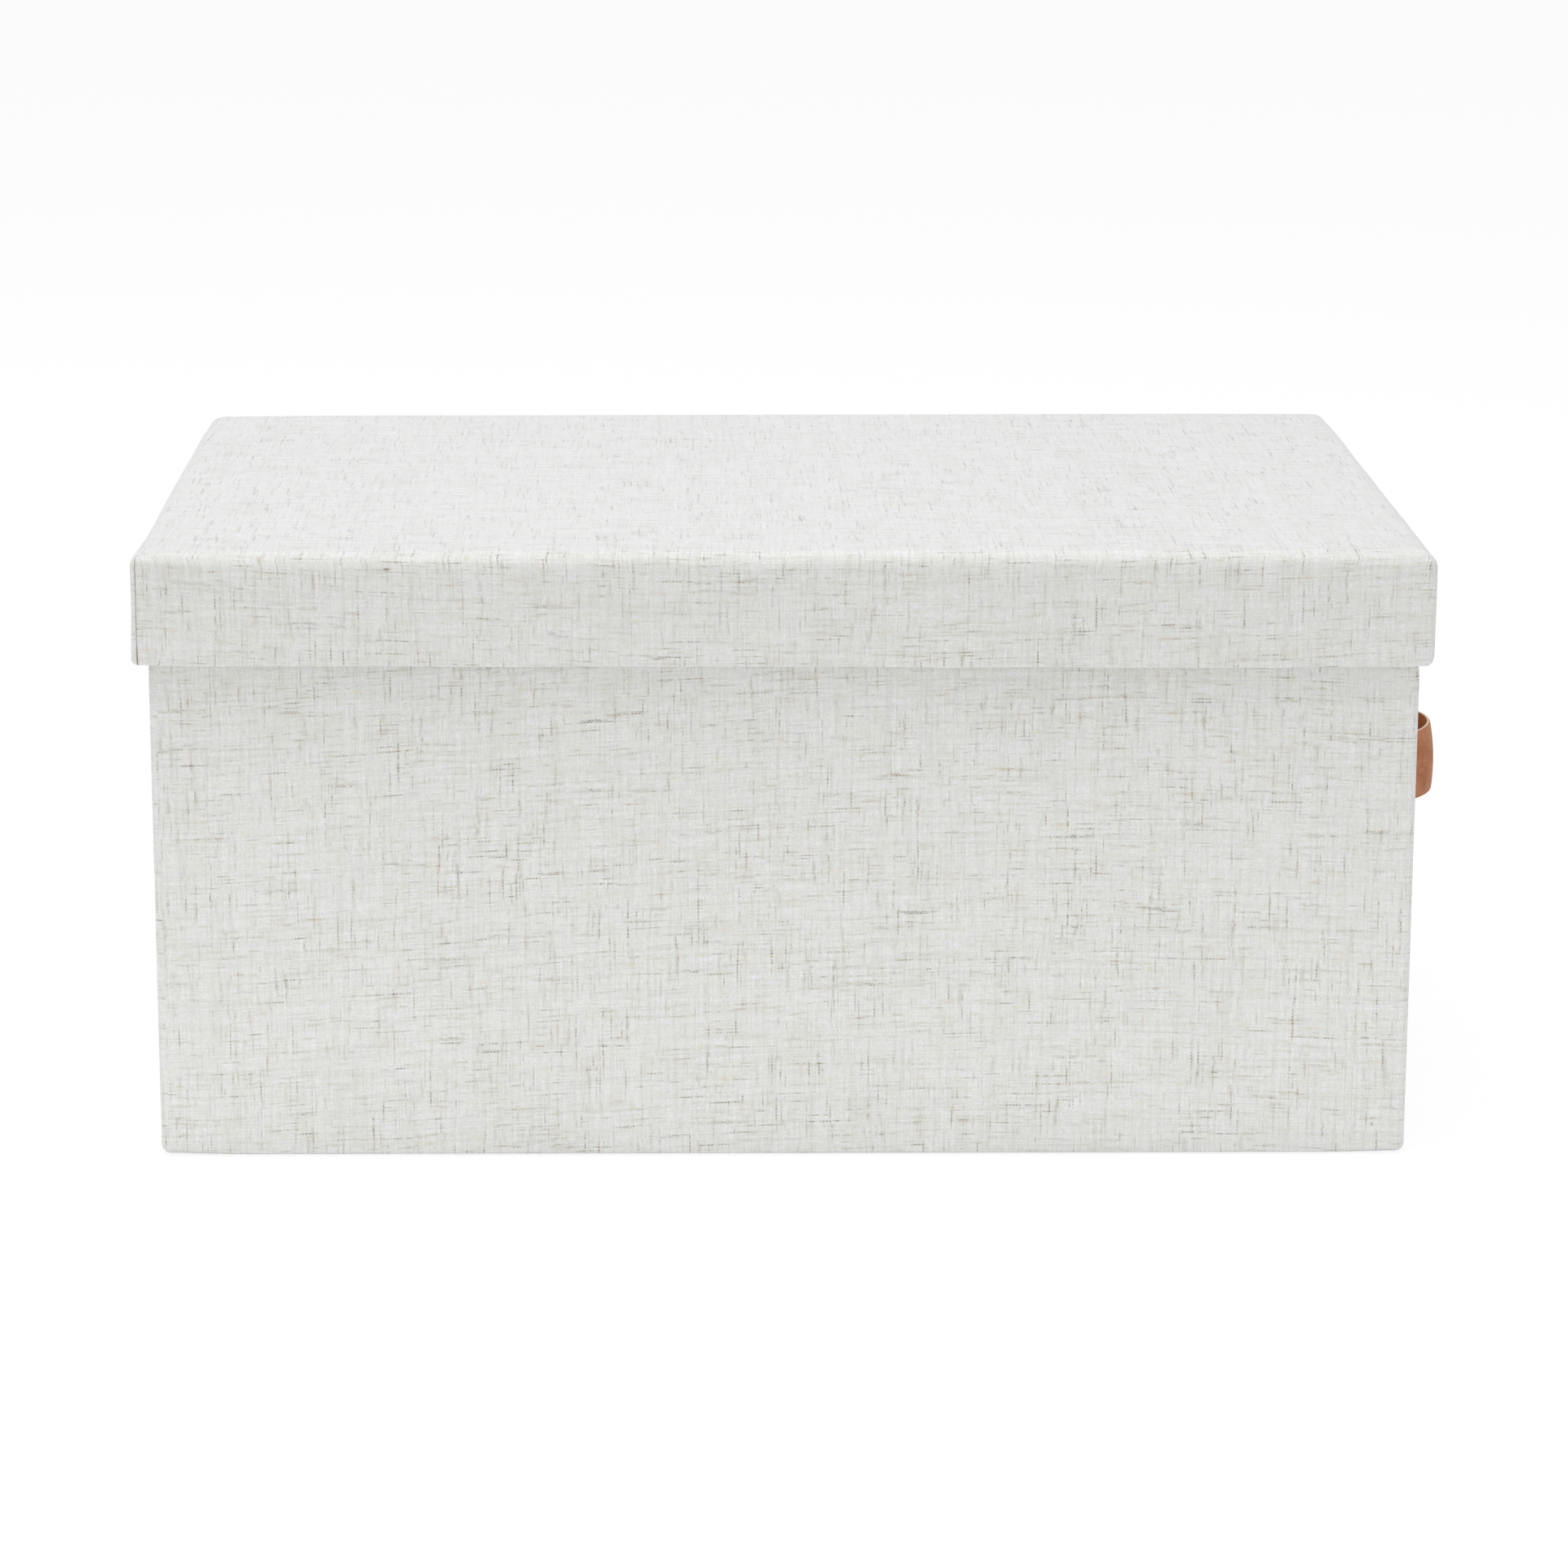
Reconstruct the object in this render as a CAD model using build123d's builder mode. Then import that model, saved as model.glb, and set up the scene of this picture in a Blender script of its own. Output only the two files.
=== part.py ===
from build123d import *

import os

# Sizes in millimetres. X runs along the box, Y from front to back and Z up from the floor.

# Box, measured over its cloth
box_length = 440.0
box_depth = 290.0
box_height = 210.5

# Sheet goods
cloth_thickness = 0.8
lining_thickness = 0.5
tape_thickness = 0.2
tape_width = 22.0
base_sheet_thickness = 0.3

# Box boards
wall_board = 2.5
base_board_thickness = 3.0
board_corner_radius = 1.4

# Cloth and lining of the box
rim_turn_in = 20.0
base_turn_in = 18.0
base_edge_radius = 2.8
lining_below_rim = 7.0
base_sheet_inset = 4.0

# Lid
lid_side_height = 40.0
lid_clearance = 0.7
lid_board = 2.0
lid_board_corner_radius = 2.0
lid_padding_thickness = 4.2
lid_edge_radius = 7.0
lid_foot_radius = 2.2
lid_turn_in = 15.0
lid_lining_above_hem = 5.0

# Leather pull on the right-hand end
strap_width = 25.0
strap_thickness = 1.4
strap_bow = 28.0
strap_span = 108.0
strap_end = 22.0
strap_end_radius = 9.0
strap_centre_height = 112.0

# Rivets of the pull
rivet_shank_radius = 1.75
rivet_hole_clearance = 0.1
rivet_head_radius = 4.5
rivet_head_height = 2.2
rivet_head_rounding = 1.5
rivet_cap_thickness = 1.6
rivet_cap_rounding = 0.8
rivet_shank_in_cap = 0.9

# Levels of the box, from the floor up
cloth_floor = base_sheet_thickness
board_floor = cloth_floor + cloth_thickness
board_top = box_height - cloth_thickness
lining_floor = board_floor + base_board_thickness
box_hem = board_top - rim_turn_in

# Plan sizes of the box, from the cloth inwards
skin_length = box_length - 2 * cloth_thickness
skin_depth = box_depth - 2 * cloth_thickness
core_length = skin_length - 2 * tape_thickness
core_depth = skin_depth - 2 * tape_thickness
hollow_length = core_length - 2 * wall_board
hollow_depth = core_depth - 2 * wall_board
skin_radius = board_corner_radius + tape_thickness
box_radius = skin_radius + cloth_thickness

# Levels of the lid, which rests on the rim by its ceiling
lid_board_floor = box_height + lining_thickness
lid_board_top = lid_board_floor + lid_board
lid_skin_top = lid_board_top + lid_padding_thickness
lid_top = lid_skin_top + cloth_thickness
lid_bottom = lid_top - lid_side_height
lid_rim_floor = lid_bottom + cloth_thickness
lid_hem = lid_rim_floor + lid_turn_in

# Plan sizes of the lid, from the box's cloth outwards
lid_room_gap = 2 * (lid_clearance + lining_thickness + cloth_thickness)
lid_hollow_length = box_length + lid_room_gap
lid_hollow_depth = box_depth + lid_room_gap
lid_core_length = lid_hollow_length + 2 * lid_board
lid_core_depth = lid_hollow_depth + 2 * lid_board
lid_skin_length = lid_core_length + 2 * tape_thickness
lid_skin_depth = lid_core_depth + 2 * tape_thickness
lid_length = lid_skin_length + 2 * cloth_thickness
lid_depth = lid_skin_depth + 2 * cloth_thickness
lid_skin_radius = lid_board_corner_radius + tape_thickness
lid_radius = lid_skin_radius + cloth_thickness

# Places along X through the right-hand end, from the pull inwards
wall_face = box_length / 2
strap_face = wall_face + strap_thickness
lining_face = hollow_length / 2 - lining_thickness
rivet_offset = (strap_span + strap_end) / 2
rivet_places = [(-rivet_offset, strap_centre_height), (rivet_offset, strap_centre_height)]
rivet_hole_radius = rivet_shank_radius + rivet_hole_clearance


def save(piece, name):
    """Labels a finished piece and writes its STEP file."""
    piece.part.label = name
    export_step(piece.part, f"parts/{name}.step")


def long_board(side, length, depth, thickness, radius, low, high, room):
    """Front (side -1) or back (side 1) wall, which runs the whole length of boards with crushed corners.
    The cloth, which has the given room inside it, also crushes the board's foot."""
    with BuildPart() as board:
        with BuildSketch(Plane.XY.offset(low)):
            RectangleRounded(length, depth, radius)
            with Locations((0, side * (depth - thickness) / 2)):
                Rectangle(length, thickness, mode=Mode.INTERSECT)
        extrude(amount=high - low)
        add(room, mode=Mode.INTERSECT)
    return board


def end_board(side, length, depth, thickness, low, high, room):
    """Left (side -1) or right (side 1) wall, which fits between the front and back walls.
    Its foot is crushed as theirs are."""
    with BuildPart() as board:
        with BuildSketch(Plane.XY.offset(low)):
            with Locations((side * (length - thickness) / 2, 0)):
                Rectangle(thickness, depth - 2 * thickness)
        extrude(amount=high - low)
        add(room, mode=Mode.INTERSECT)
    return board


def corner_tapes(length, depth, radius, low, high):
    """Four paper tapes folded over the upright corners of the boards."""
    with BuildPart() as tapes:
        with BuildSketch(Plane.XY.offset(low)):
            RectangleRounded(length + 2 * tape_thickness, depth + 2 * tape_thickness, radius + tape_thickness)
            RectangleRounded(length, depth, radius, mode=Mode.SUBTRACT)
            Rectangle(length - 2 * tape_width, 2 * depth, mode=Mode.SUBTRACT)
            Rectangle(2 * length, depth - 2 * tape_width, mode=Mode.SUBTRACT)
        extrude(amount=high - low)
    return tapes


def ring(length, depth, wall, low, high):
    """Square-cornered band of sheet, wall thick, measured over its outside."""
    with BuildPart() as band:
        with BuildSketch(Plane.XY.offset(low)):
            Rectangle(length, depth)
            Rectangle(length - 2 * wall, depth - 2 * wall, mode=Mode.SUBTRACT)
        extrude(amount=high - low)
    return band.part


def lining_band(length, depth, far, hem, edge):
    """Lining round four walls. It starts at far, lies on the boards up to the hem of the turned-in cloth,
    steps over the hem and lies on the cloth as far as its free edge."""
    lap = lining_thickness if edge > hem else -lining_thickness
    on_cloth = 2 * cloth_thickness
    on_boards = ring(length, depth, lining_thickness, far, hem)
    step = ring(length, depth, cloth_thickness + lining_thickness, hem - lap, hem)
    over_cloth = ring(length - on_cloth, depth - on_cloth, lining_thickness, hem, edge)
    with BuildPart() as band:
        add(on_boards)
        add(step)
        add(over_cloth)
    return band


def rounded_block(length, depth, low, high, corner_radius, foot_radius, top_radius=0.0):
    """Block with its upright corners rounded. The edges of its foot, and those of its top where a radius is
    given, are rounded too and mitred where they meet."""
    middle = (low + high) / 2
    with BuildPart() as block:
        with BuildSketch(Plane.XY.offset(low)):
            RectangleRounded(length, depth, corner_radius)
        extrude(amount=high - low)
        for plane, width, reach in ((Plane.XZ, length, depth), (Plane.YZ, depth, length)):
            with BuildSketch(plane) as profile:
                with Locations((0, middle)):
                    Rectangle(width, high - low)
                fillet(profile.vertices().group_by(Axis.Y)[0], foot_radius)
                if top_radius:
                    fillet(profile.vertices().group_by(Axis.Y)[-1], top_radius)
            extrude(amount=reach, both=True, mode=Mode.INTERSECT)
    return block.part


def rivet_bars(radius, inner, outer):
    """Two round bars along X at the rivets' places, from inner to outer."""
    with BuildPart() as bars:
        with BuildSketch(Plane.YZ.offset(inner)):
            with Locations(*rivet_places):
                Circle(radius)
        extrude(amount=outer - inner)
    return bars.part


os.makedirs("parts", exist_ok=True)

# Holes for the rivets through the pull, the cloth, the board and the lining
rivet_holes = rivet_bars(rivet_hole_radius, lining_face - wall_board, strap_face + wall_board)

# Space inside the box's cloth
box_room = rounded_block(
    skin_length, skin_depth, board_floor, board_top, skin_radius, base_edge_radius - cloth_thickness
)

# Box boards
for side, name in ((-1, "front_board"), (1, "back_board")):
    wall = long_board(
        side, core_length, core_depth, wall_board, board_corner_radius, board_floor, board_top, box_room
    )
    save(wall, name)

left_end_board = end_board(-1, core_length, core_depth, wall_board, board_floor, board_top, box_room)
save(left_end_board, "left_end_board")

plain_right_end = end_board(1, core_length, core_depth, wall_board, board_floor, board_top, box_room)
with BuildPart() as right_end_board:
    add(plain_right_end.part)
    add(rivet_holes, mode=Mode.SUBTRACT)
save(right_end_board, "right_end_board")

with BuildPart() as base_board:
    with BuildSketch(Plane.XY.offset(board_floor)):
        Rectangle(hollow_length, hollow_depth)
    extrude(amount=base_board_thickness)
save(base_board, "base_board")

tape_floor = cloth_floor + base_edge_radius
save(corner_tapes(core_length, core_depth, board_corner_radius, tape_floor, board_top), "corner_tapes")

# Cloth of the box: up the walls, over the rim and down inside it, and in under the base
box_block = rounded_block(box_length, box_depth, cloth_floor, box_height, box_radius, base_edge_radius)
rim_fold = ring(hollow_length, hollow_depth, cloth_thickness, box_hem, board_top)
with BuildPart() as outer_cloth:
    add(box_block)
    add(box_room, mode=Mode.SUBTRACT)
    with BuildSketch(Plane.XY.offset(board_top)):
        Rectangle(hollow_length - 2 * cloth_thickness, hollow_depth - 2 * cloth_thickness)
    extrude(amount=cloth_thickness, mode=Mode.SUBTRACT)
    with BuildSketch(Plane.XY.offset(cloth_floor)):
        Rectangle(box_length - 2 * base_turn_in, box_depth - 2 * base_turn_in)
    extrude(amount=cloth_thickness, mode=Mode.SUBTRACT)
    add(rim_fold)
    add(rivet_holes, mode=Mode.SUBTRACT)
save(outer_cloth, "outer_cloth")

# Lining of the box
plain_wall_lining = lining_band(
    hollow_length, hollow_depth, lining_floor, box_hem, box_height - lining_below_rim
)
with BuildPart() as wall_lining:
    add(plain_wall_lining.part)
    add(rivet_holes, mode=Mode.SUBTRACT)
save(wall_lining, "wall_lining")

with BuildPart() as floor_lining:
    with BuildSketch(Plane.XY.offset(lining_floor)):
        Rectangle(hollow_length - 2 * lining_thickness, hollow_depth - 2 * lining_thickness)
    extrude(amount=lining_thickness)
save(floor_lining, "floor_lining")

# Sheet under the base, which the box stands on
with BuildPart() as base_sheet:
    with BuildSketch():
        Rectangle(box_length - 2 * base_sheet_inset, box_depth - 2 * base_sheet_inset)
    extrude(amount=base_sheet_thickness)
save(base_sheet, "base_sheet")

# Leather pull: two flat ends and a bow between them, made of equal arcs that run on smoothly
strap_line_x = wall_face + strap_thickness / 2
foot_y = strap_span / 2
tip_y = foot_y + strap_end
shoulder_x = strap_line_x + strap_bow / 2
shoulder_y = foot_y / 2
strap_tip = Plane(origin=(strap_line_x, -tip_y, strap_centre_height), x_dir=(1, 0, 0), z_dir=(0, 1, 0))
with BuildPart() as pull_strap:
    with BuildLine(Plane.XY.offset(strap_centre_height)) as bow:
        front_end = Line((strap_line_x, -tip_y), (strap_line_x, -foot_y))
        rise = TangentArc(front_end @ 1, (shoulder_x, -shoulder_y), tangent=front_end % 1)
        crown = TangentArc(rise @ 1, (shoulder_x, shoulder_y), tangent=rise % 1)
        fall = TangentArc(crown @ 1, (strap_line_x, foot_y), tangent=crown % 1)
        Line(fall @ 1, (strap_line_x, tip_y))
    with BuildSketch(strap_tip):
        Rectangle(strap_thickness, strap_width)
    sweep(path=bow.line)
    tips = pull_strap.edges().filter_by(Axis.X).group_by(Axis.Y)
    fillet(tips[0] + tips[-1], strap_end_radius)
    add(rivet_holes, mode=Mode.SUBTRACT)
save(pull_strap, "pull_strap")

# Rivets: a domed head on the pull and a shank through the wall into a cap inside
shank_end = lining_face - rivet_shank_in_cap
rivet_shanks = rivet_bars(rivet_shank_radius, shank_end, strap_face)
with BuildPart() as rivets:
    with BuildSketch(Plane.YZ.offset(strap_face)):
        with Locations(*rivet_places):
            Circle(rivet_head_radius)
    extrude(amount=rivet_head_height)
    fillet(rivets.edges().group_by(Axis.X)[-1], rivet_head_rounding)
    add(rivet_shanks)
save(rivets, "rivets")

shank_sockets = rivet_bars(rivet_hole_radius, shank_end, lining_face)
with BuildPart() as rivet_caps:
    with BuildSketch(Plane.YZ.offset(lining_face)):
        with Locations(*rivet_places):
            Circle(rivet_head_radius)
    extrude(amount=-rivet_cap_thickness)
    fillet(rivet_caps.edges().group_by(Axis.X)[0], rivet_cap_rounding)
    add(shank_sockets, mode=Mode.SUBTRACT)
save(rivet_caps, "rivet_caps")

# Space inside the lid's cloth
lid_room = rounded_block(
    lid_skin_length,
    lid_skin_depth,
    lid_rim_floor,
    lid_skin_top,
    lid_skin_radius,
    lid_foot_radius - cloth_thickness,
    lid_edge_radius - cloth_thickness,
)

# Lid boards: four rim boards under a top board whose upper edges are crushed round by the cloth
for side, name in ((-1, "lid_front_board"), (1, "lid_back_board")):
    rim_board = long_board(
        side,
        lid_core_length,
        lid_core_depth,
        lid_board,
        lid_board_corner_radius,
        lid_rim_floor,
        lid_board_floor,
        lid_room,
    )
    save(rim_board, name)
for side, name in ((-1, "lid_left_end_board"), (1, "lid_right_end_board")):
    rim_board = end_board(
        side, lid_core_length, lid_core_depth, lid_board, lid_rim_floor, lid_board_floor, lid_room
    )
    save(rim_board, name)

with BuildPart() as lid_top_board:
    with BuildSketch(Plane.XY.offset(lid_board_floor)):
        RectangleRounded(lid_core_length, lid_core_depth, lid_board_corner_radius)
    extrude(amount=lid_board)
    add(lid_room, mode=Mode.INTERSECT)
save(lid_top_board, "lid_top_board")

lid_tape_floor = lid_bottom + lid_foot_radius
lid_tape_top = lid_top - lid_edge_radius
lid_tapes = corner_tapes(
    lid_core_length, lid_core_depth, lid_board_corner_radius, lid_tape_floor, lid_tape_top
)
save(lid_tapes, "lid_corner_tapes")

with BuildPart() as lid_padding:
    with BuildSketch(Plane.XY.offset(lid_board_top)):
        Rectangle(lid_length, lid_depth)
    extrude(amount=lid_padding_thickness)
    add(lid_room, mode=Mode.INTERSECT)
save(lid_padding, "lid_padding")

# Cloth of the lid: over the padding, down the rim, and up inside it
lid_hood = rounded_block(
    lid_length, lid_depth, lid_bottom, lid_top, lid_radius, lid_foot_radius, lid_edge_radius
)
lid_fold = ring(lid_hollow_length, lid_hollow_depth, cloth_thickness, lid_rim_floor, lid_hem)
with BuildPart() as lid_cloth:
    add(lid_hood)
    add(lid_room, mode=Mode.SUBTRACT)
    with BuildSketch(Plane.XY.offset(lid_bottom)):
        Rectangle(lid_hollow_length - 2 * cloth_thickness, lid_hollow_depth - 2 * cloth_thickness)
    extrude(amount=cloth_thickness, mode=Mode.SUBTRACT)
    add(lid_fold)
save(lid_cloth, "lid_cloth")

# Lining of the lid
with BuildPart() as lid_ceiling_lining:
    with BuildSketch(Plane.XY.offset(box_height)):
        Rectangle(lid_hollow_length, lid_hollow_depth)
    extrude(amount=lining_thickness)
save(lid_ceiling_lining, "lid_ceiling_lining")

lid_rim_lining = lining_band(
    lid_hollow_length, lid_hollow_depth, box_height, lid_hem, lid_bottom + lid_lining_above_hem
)
save(lid_rim_lining, "lid_rim_lining")
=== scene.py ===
"""Looks of a board box covered in slub linen, with a padded lift-off lid and a leather pull."""
import math

import bpy
import numpy as np
from mathutils import Matrix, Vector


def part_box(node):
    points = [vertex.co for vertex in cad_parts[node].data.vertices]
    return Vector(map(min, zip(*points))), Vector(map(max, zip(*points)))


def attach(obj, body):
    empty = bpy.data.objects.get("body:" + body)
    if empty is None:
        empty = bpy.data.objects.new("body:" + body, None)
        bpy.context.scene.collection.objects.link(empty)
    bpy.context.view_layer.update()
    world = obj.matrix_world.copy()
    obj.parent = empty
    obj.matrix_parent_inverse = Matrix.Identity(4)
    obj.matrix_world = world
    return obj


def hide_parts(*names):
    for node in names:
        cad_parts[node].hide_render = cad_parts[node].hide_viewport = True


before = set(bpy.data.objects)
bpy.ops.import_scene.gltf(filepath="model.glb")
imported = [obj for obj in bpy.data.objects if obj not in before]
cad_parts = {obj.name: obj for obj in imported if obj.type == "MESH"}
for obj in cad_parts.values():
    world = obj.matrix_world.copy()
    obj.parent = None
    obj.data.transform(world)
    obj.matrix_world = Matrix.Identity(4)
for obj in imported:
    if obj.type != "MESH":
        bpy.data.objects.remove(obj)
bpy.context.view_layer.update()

MM = 0.001
QUARTER = 0.5 * math.pi


def corners(node):
    """A node's lowest and highest corners as arrays."""
    return (np.array(corner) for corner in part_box(node))


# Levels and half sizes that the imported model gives, in metres.
box_low, box_high = corners("outer_cloth")
lid_low, lid_high = corners("lid_cloth")
strap_low, strap_high = corners("pull_strap")
rivet_low, rivet_high = corners("rivets")
cap_low, cap_high = corners("rivet_caps")
padding_low, padding_high = corners("lid_padding")
floor_lining_low, floor_lining_high = corners("floor_lining")
ceiling_low, ceiling_high = corners("lid_ceiling_lining")
wall_lining_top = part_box("wall_lining")[1].z
rim_lining_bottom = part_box("lid_rim_lining")[0].z
strap_height = 0.5 * (strap_low[2] + strap_high[2])

# Sizes of the build that are not a node's outside, in metres.
cloth_thickness = 0.8 * MM
lining_thickness = 0.5 * MM
base_edge_radius = 2.8 * MM
box_fold = 4.3 * MM
lid_fold = 3.8 * MM
rim_turn_in = 20.0 * MM
base_turn_in = 18.0 * MM
lid_turn_in = 15.0 * MM
strap_span = 108.0 * MM
strap_end_radius = 9.0 * MM
strap_thickness = 1.4 * MM
rivet_spacing = 130.0 * MM


# Meshes

def waves(across, along, wavelength, seed):
    """Smooth fixed wandering between about -1 and 1, for cloth that isn't quite flat."""
    wave_count, shortest, longest = 7, 0.7, 1.7
    draw = np.random.default_rng(seed)
    total = np.zeros(np.broadcast(across, along).shape)
    for _ in range(wave_count):
        turn = draw.uniform(0, 2 * math.pi)
        length = wavelength * draw.uniform(shortest, longest)
        phase = draw.uniform(0, 2 * math.pi)
        total += np.sin(2 * math.pi * (across * math.cos(turn) + along * math.sin(turn)) / length + phase)
    return total / (0.5 * wave_count)


def ease(value, start, end):
    """0 before start, 1 after end, smooth between."""
    share = np.clip((value - start) / (end - start), 0, 1)
    return share * share * (3 - 2 * share)


def graded(length, first, growth, largest):
    """Places along a side, close together at its two ends and at most `largest` apart."""
    places = [0.0]
    step = first
    while step < largest and places[-1] + step < length / 2 - largest:
        places.append(places[-1] + step)
        step *= growth
    count = max(1, round((length - 2 * places[-1]) / largest))
    middle = np.linspace(places[-1], length - places[-1], count + 1)
    return np.concatenate([places[:-1], middle, length - np.array(places[:-1])[::-1]])


def rounding(centre, start, end, count):
    """Profile points of a quarter round about a centre, from the tip of one arm to the tip of the other."""
    return [tuple(middle + one * math.cos(turn) + other * math.sin(turn)
                  for middle, one, other in zip(centre, start, end))
            for turn in np.linspace(0, QUARTER, count)]


class Girth:
    """Columns round a rectangle with rounded corners, counter-clockwise from the front's left end."""

    STARTS = np.array([(-1, -1), (1, -1), (1, 1), (-1, 1)], float)
    FACINGS = np.array([(0, -1), (1, 0), (0, 1), (-1, 0)], float)

    def __init__(self, half, radius, first=1.0 * MM, growth=1.45, largest=6.0 * MM, arc_steps=8, extra=None):
        self.half = np.array(half[:2], float)
        self.radius = radius
        self.corner_columns = []
        self.middles = []
        columns = []
        run = 0.0
        for side in range(4):
            start, end = self.STARTS[side], self.STARTS[(side + 1) % 4]
            facing, next_facing = self.FACINGS[side], self.FACINGS[(side + 1) % 4]
            length = 2 * (self.half[side % 2] - radius)
            places = graded(length, first, growth, largest)
            for from_far_end in (extra or {}).get(side, ()):
                places = np.sort(np.append(places, length - from_far_end))
            for place in places:
                anchor = start + (end - start) * place / length
                columns.append((anchor, facing, side, place, min(place, length - place), run + place))
            self.middles.append(run + length / 2)
            run += length
            self.corner_columns.append(len(columns) + arc_steps // 2 - 1)
            for step in range(1, arc_steps):
                turn = QUARTER * step / arc_steps
                outward = facing * math.cos(turn) + next_facing * math.sin(turn)
                columns.append((end, outward, side + 0.5, 0.0, 0.0, run + radius * turn))
            run += radius * QUARTER
        self.anchor, self.facing, self.side, self.from_start, self.from_end, self.run = (
            np.array(values) for values in zip(*columns))
        self.length = run
        self.count = len(columns)

    def at_corners(self, *values_mm):
        """Each column's length at its nearest corner: front left, front right, back right, back left."""
        right = self.anchor[:, 0] > 0
        back = self.anchor[:, 1] > 0
        return np.array(values_mm)[np.where(back, np.where(right, 2, 3), np.where(right, 1, 0))] * MM

    def near_corners(self, reach):
        """1 at the corners, falling off along the sides over a reach."""
        return np.exp(-(self.from_end / reach) ** 2)

    def row(self, inset, height, least_radius):
        """One row of points, inset from the outside by a length that may differ by column."""
        inset = np.broadcast_to(inset, self.count)
        radius = np.maximum(self.radius - inset, least_radius)[:, None]
        plan = self.anchor * (self.half - inset[:, None] - radius) + self.facing * radius
        return np.column_stack([plan, np.broadcast_to(height, self.count)])

    def from_middle(self, flap, run, inset):
        """How far a point of an inset row is from the middle of a flap's side, along the side's straight
        threads and then round its corner."""
        run = (run - np.array(self.middles)[flap] + self.length / 2) % self.length - self.length / 2
        straight = self.half[flap % 2] - self.radius
        past = np.maximum(np.abs(run) - straight, 0)
        return np.clip(run / straight, -1, 1) * (straight - inset) + np.sign(run) * past


def round_quads(row_count, column_count):
    """Corner indices of the quads between rows that close on themselves."""
    row, column = np.meshgrid(np.arange(row_count - 1), np.arange(column_count), indexing="ij")
    ahead = (column + 1) % column_count
    lower, upper = row * column_count, (row + 1) * column_count
    return np.stack([lower + column, lower + ahead, upper + ahead, upper + column], axis=-1).reshape(-1, 4)


def grid_quads(index):
    """Corner indices of the quads of a grid of point indices."""
    return np.stack([index[:-1, :-1], index[1:, :-1], index[1:, 1:], index[:-1, 1:]], -1).reshape(-1, 4)


def panel_points(girth, ring):
    """Points of a panel that fills a closed row, and their places in the row, or -1 inside it."""
    front_right, back_right, back_left, front_left = girth.corner_columns
    order = np.arange(girth.count)
    front = np.arange(front_left - girth.count, front_right + 1) % girth.count
    right = order[front_right:back_right + 1]
    back = order[back_right:back_left + 1][::-1]
    left = order[back_left:front_left + 1][::-1]
    s = np.linspace(0, 1, len(front))[:, None, None]
    t = np.linspace(0, 1, len(right))[None, :, None]
    points = ((1 - t) * ring[front][:, None] + t * ring[back][:, None]
              + (1 - s) * ring[left][None] + s * ring[right][None]
              - (1 - s) * (1 - t) * ring[front_left] - s * (1 - t) * ring[front_right]
              - s * t * ring[back_right] - (1 - s) * t * ring[back_left])
    places = np.full((len(front), len(right)), -1)
    places[:, 0], places[:, -1] = front, back
    places[0, :], places[-1, :] = left, right
    return points, places


def make_piece(name, points, faces, corner_uv, material, body):
    """A mesh piece with its own UV map in metres, riding on a body."""
    mesh = bpy.data.meshes.new(name)
    mesh.from_pydata([tuple(p) for p in points], [], [tuple(int(i) for i in f) for f in faces])
    layer = mesh.uv_layers.new(name="threads")
    layer.data.foreach_set("uv", np.asarray(corner_uv, np.float32).ravel())
    mesh.shade_smooth()
    mesh.materials.append(material)
    piece = bpy.data.objects.new(name, mesh)
    bpy.context.scene.collection.objects.link(piece)
    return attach(piece, body)


def note_points(piece, name, values):
    """Keeps one number for each point of a piece, for its material to read."""
    layer = piece.data.attributes.new(name, "FLOAT", "POINT")
    layer.data.foreach_set("value", np.array(values, np.float32))


def thicken(piece, thickness):
    """Gives a skin its cloth's thickness on the side away from the eye."""
    solid = piece.modifiers.new("thickness", "SOLIDIFY")
    solid.thickness = thickness
    solid.offset = -1


def skin(name, girth, rows, flap, lay, material, body, panels=()):
    """A skin of rows round a girth, with panels that fill rows. `lay` gives a quad corner's place on the
    flat cloth from the quad's flap, the run round the girth, the corner's row and column, and the reach
    along the rows' profile."""
    rows = np.array(rows)
    row_count, column_count = rows.shape[:2]
    faces = round_quads(row_count, column_count)
    steps = np.linalg.norm(np.diff(rows, axis=0), axis=2)
    reach = np.vstack([np.zeros(column_count), np.cumsum(steps, axis=0)])
    row, column = np.indices((row_count - 1, column_count))
    flap = np.broadcast_to(flap, row.shape)
    here, ahead = girth.run[column], np.append(girth.run[1:], girth.length)[column]
    uv = []
    for up, on in ((0, 0), (0, 1), (1, 1), (1, 0)):
        place = (row + up, (column + on) % column_count)
        uv.append(lay(flap, ahead if on else here, place, reach[place], reach[-1][place[1]]))
    uv = np.stack(uv, axis=2).reshape(-1, 4, 2)
    points = rows.reshape(-1, 3)
    for row in panels:
        sheet, places = panel_points(girth, rows[row])
        places = np.where(places >= 0, places + row * column_count, places)
        inside = places < 0
        places[inside] = len(points) + np.arange(inside.sum())
        points = np.vstack([points, sheet[inside]])
        cell = grid_quads(places) if row else grid_quads(places)[:, ::-1]
        faces = np.vstack([faces, cell])
        uv = np.vstack([uv, points[cell][:, :, :2]])
    return make_piece(name, points, faces, uv, material, body)


# A second flap's threads come from this far along the cloth.
flap_shift = 310 * MM


def strip(flap, run, place, reach, whole):
    """Cloth that goes round the walls in one strip: run along it, reach across it."""
    return np.stack([run + flap_shift * flap, reach], axis=-1)


# Materials

# Kinds of node that the materials use most.
CALC = "ShaderNodeMath"
MIX = "ShaderNodeMix"
RANGE = "ShaderNodeMapRange"
NOISE = "ShaderNodeTexNoise"
PLACE = "ShaderNodeMapping"

# A mix of colours: the sockets of the two, and its setting with the result's socket.
FROM, TO = 6, 7
COLOURS = {"data_type": "RGBA", "out": 2}


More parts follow.
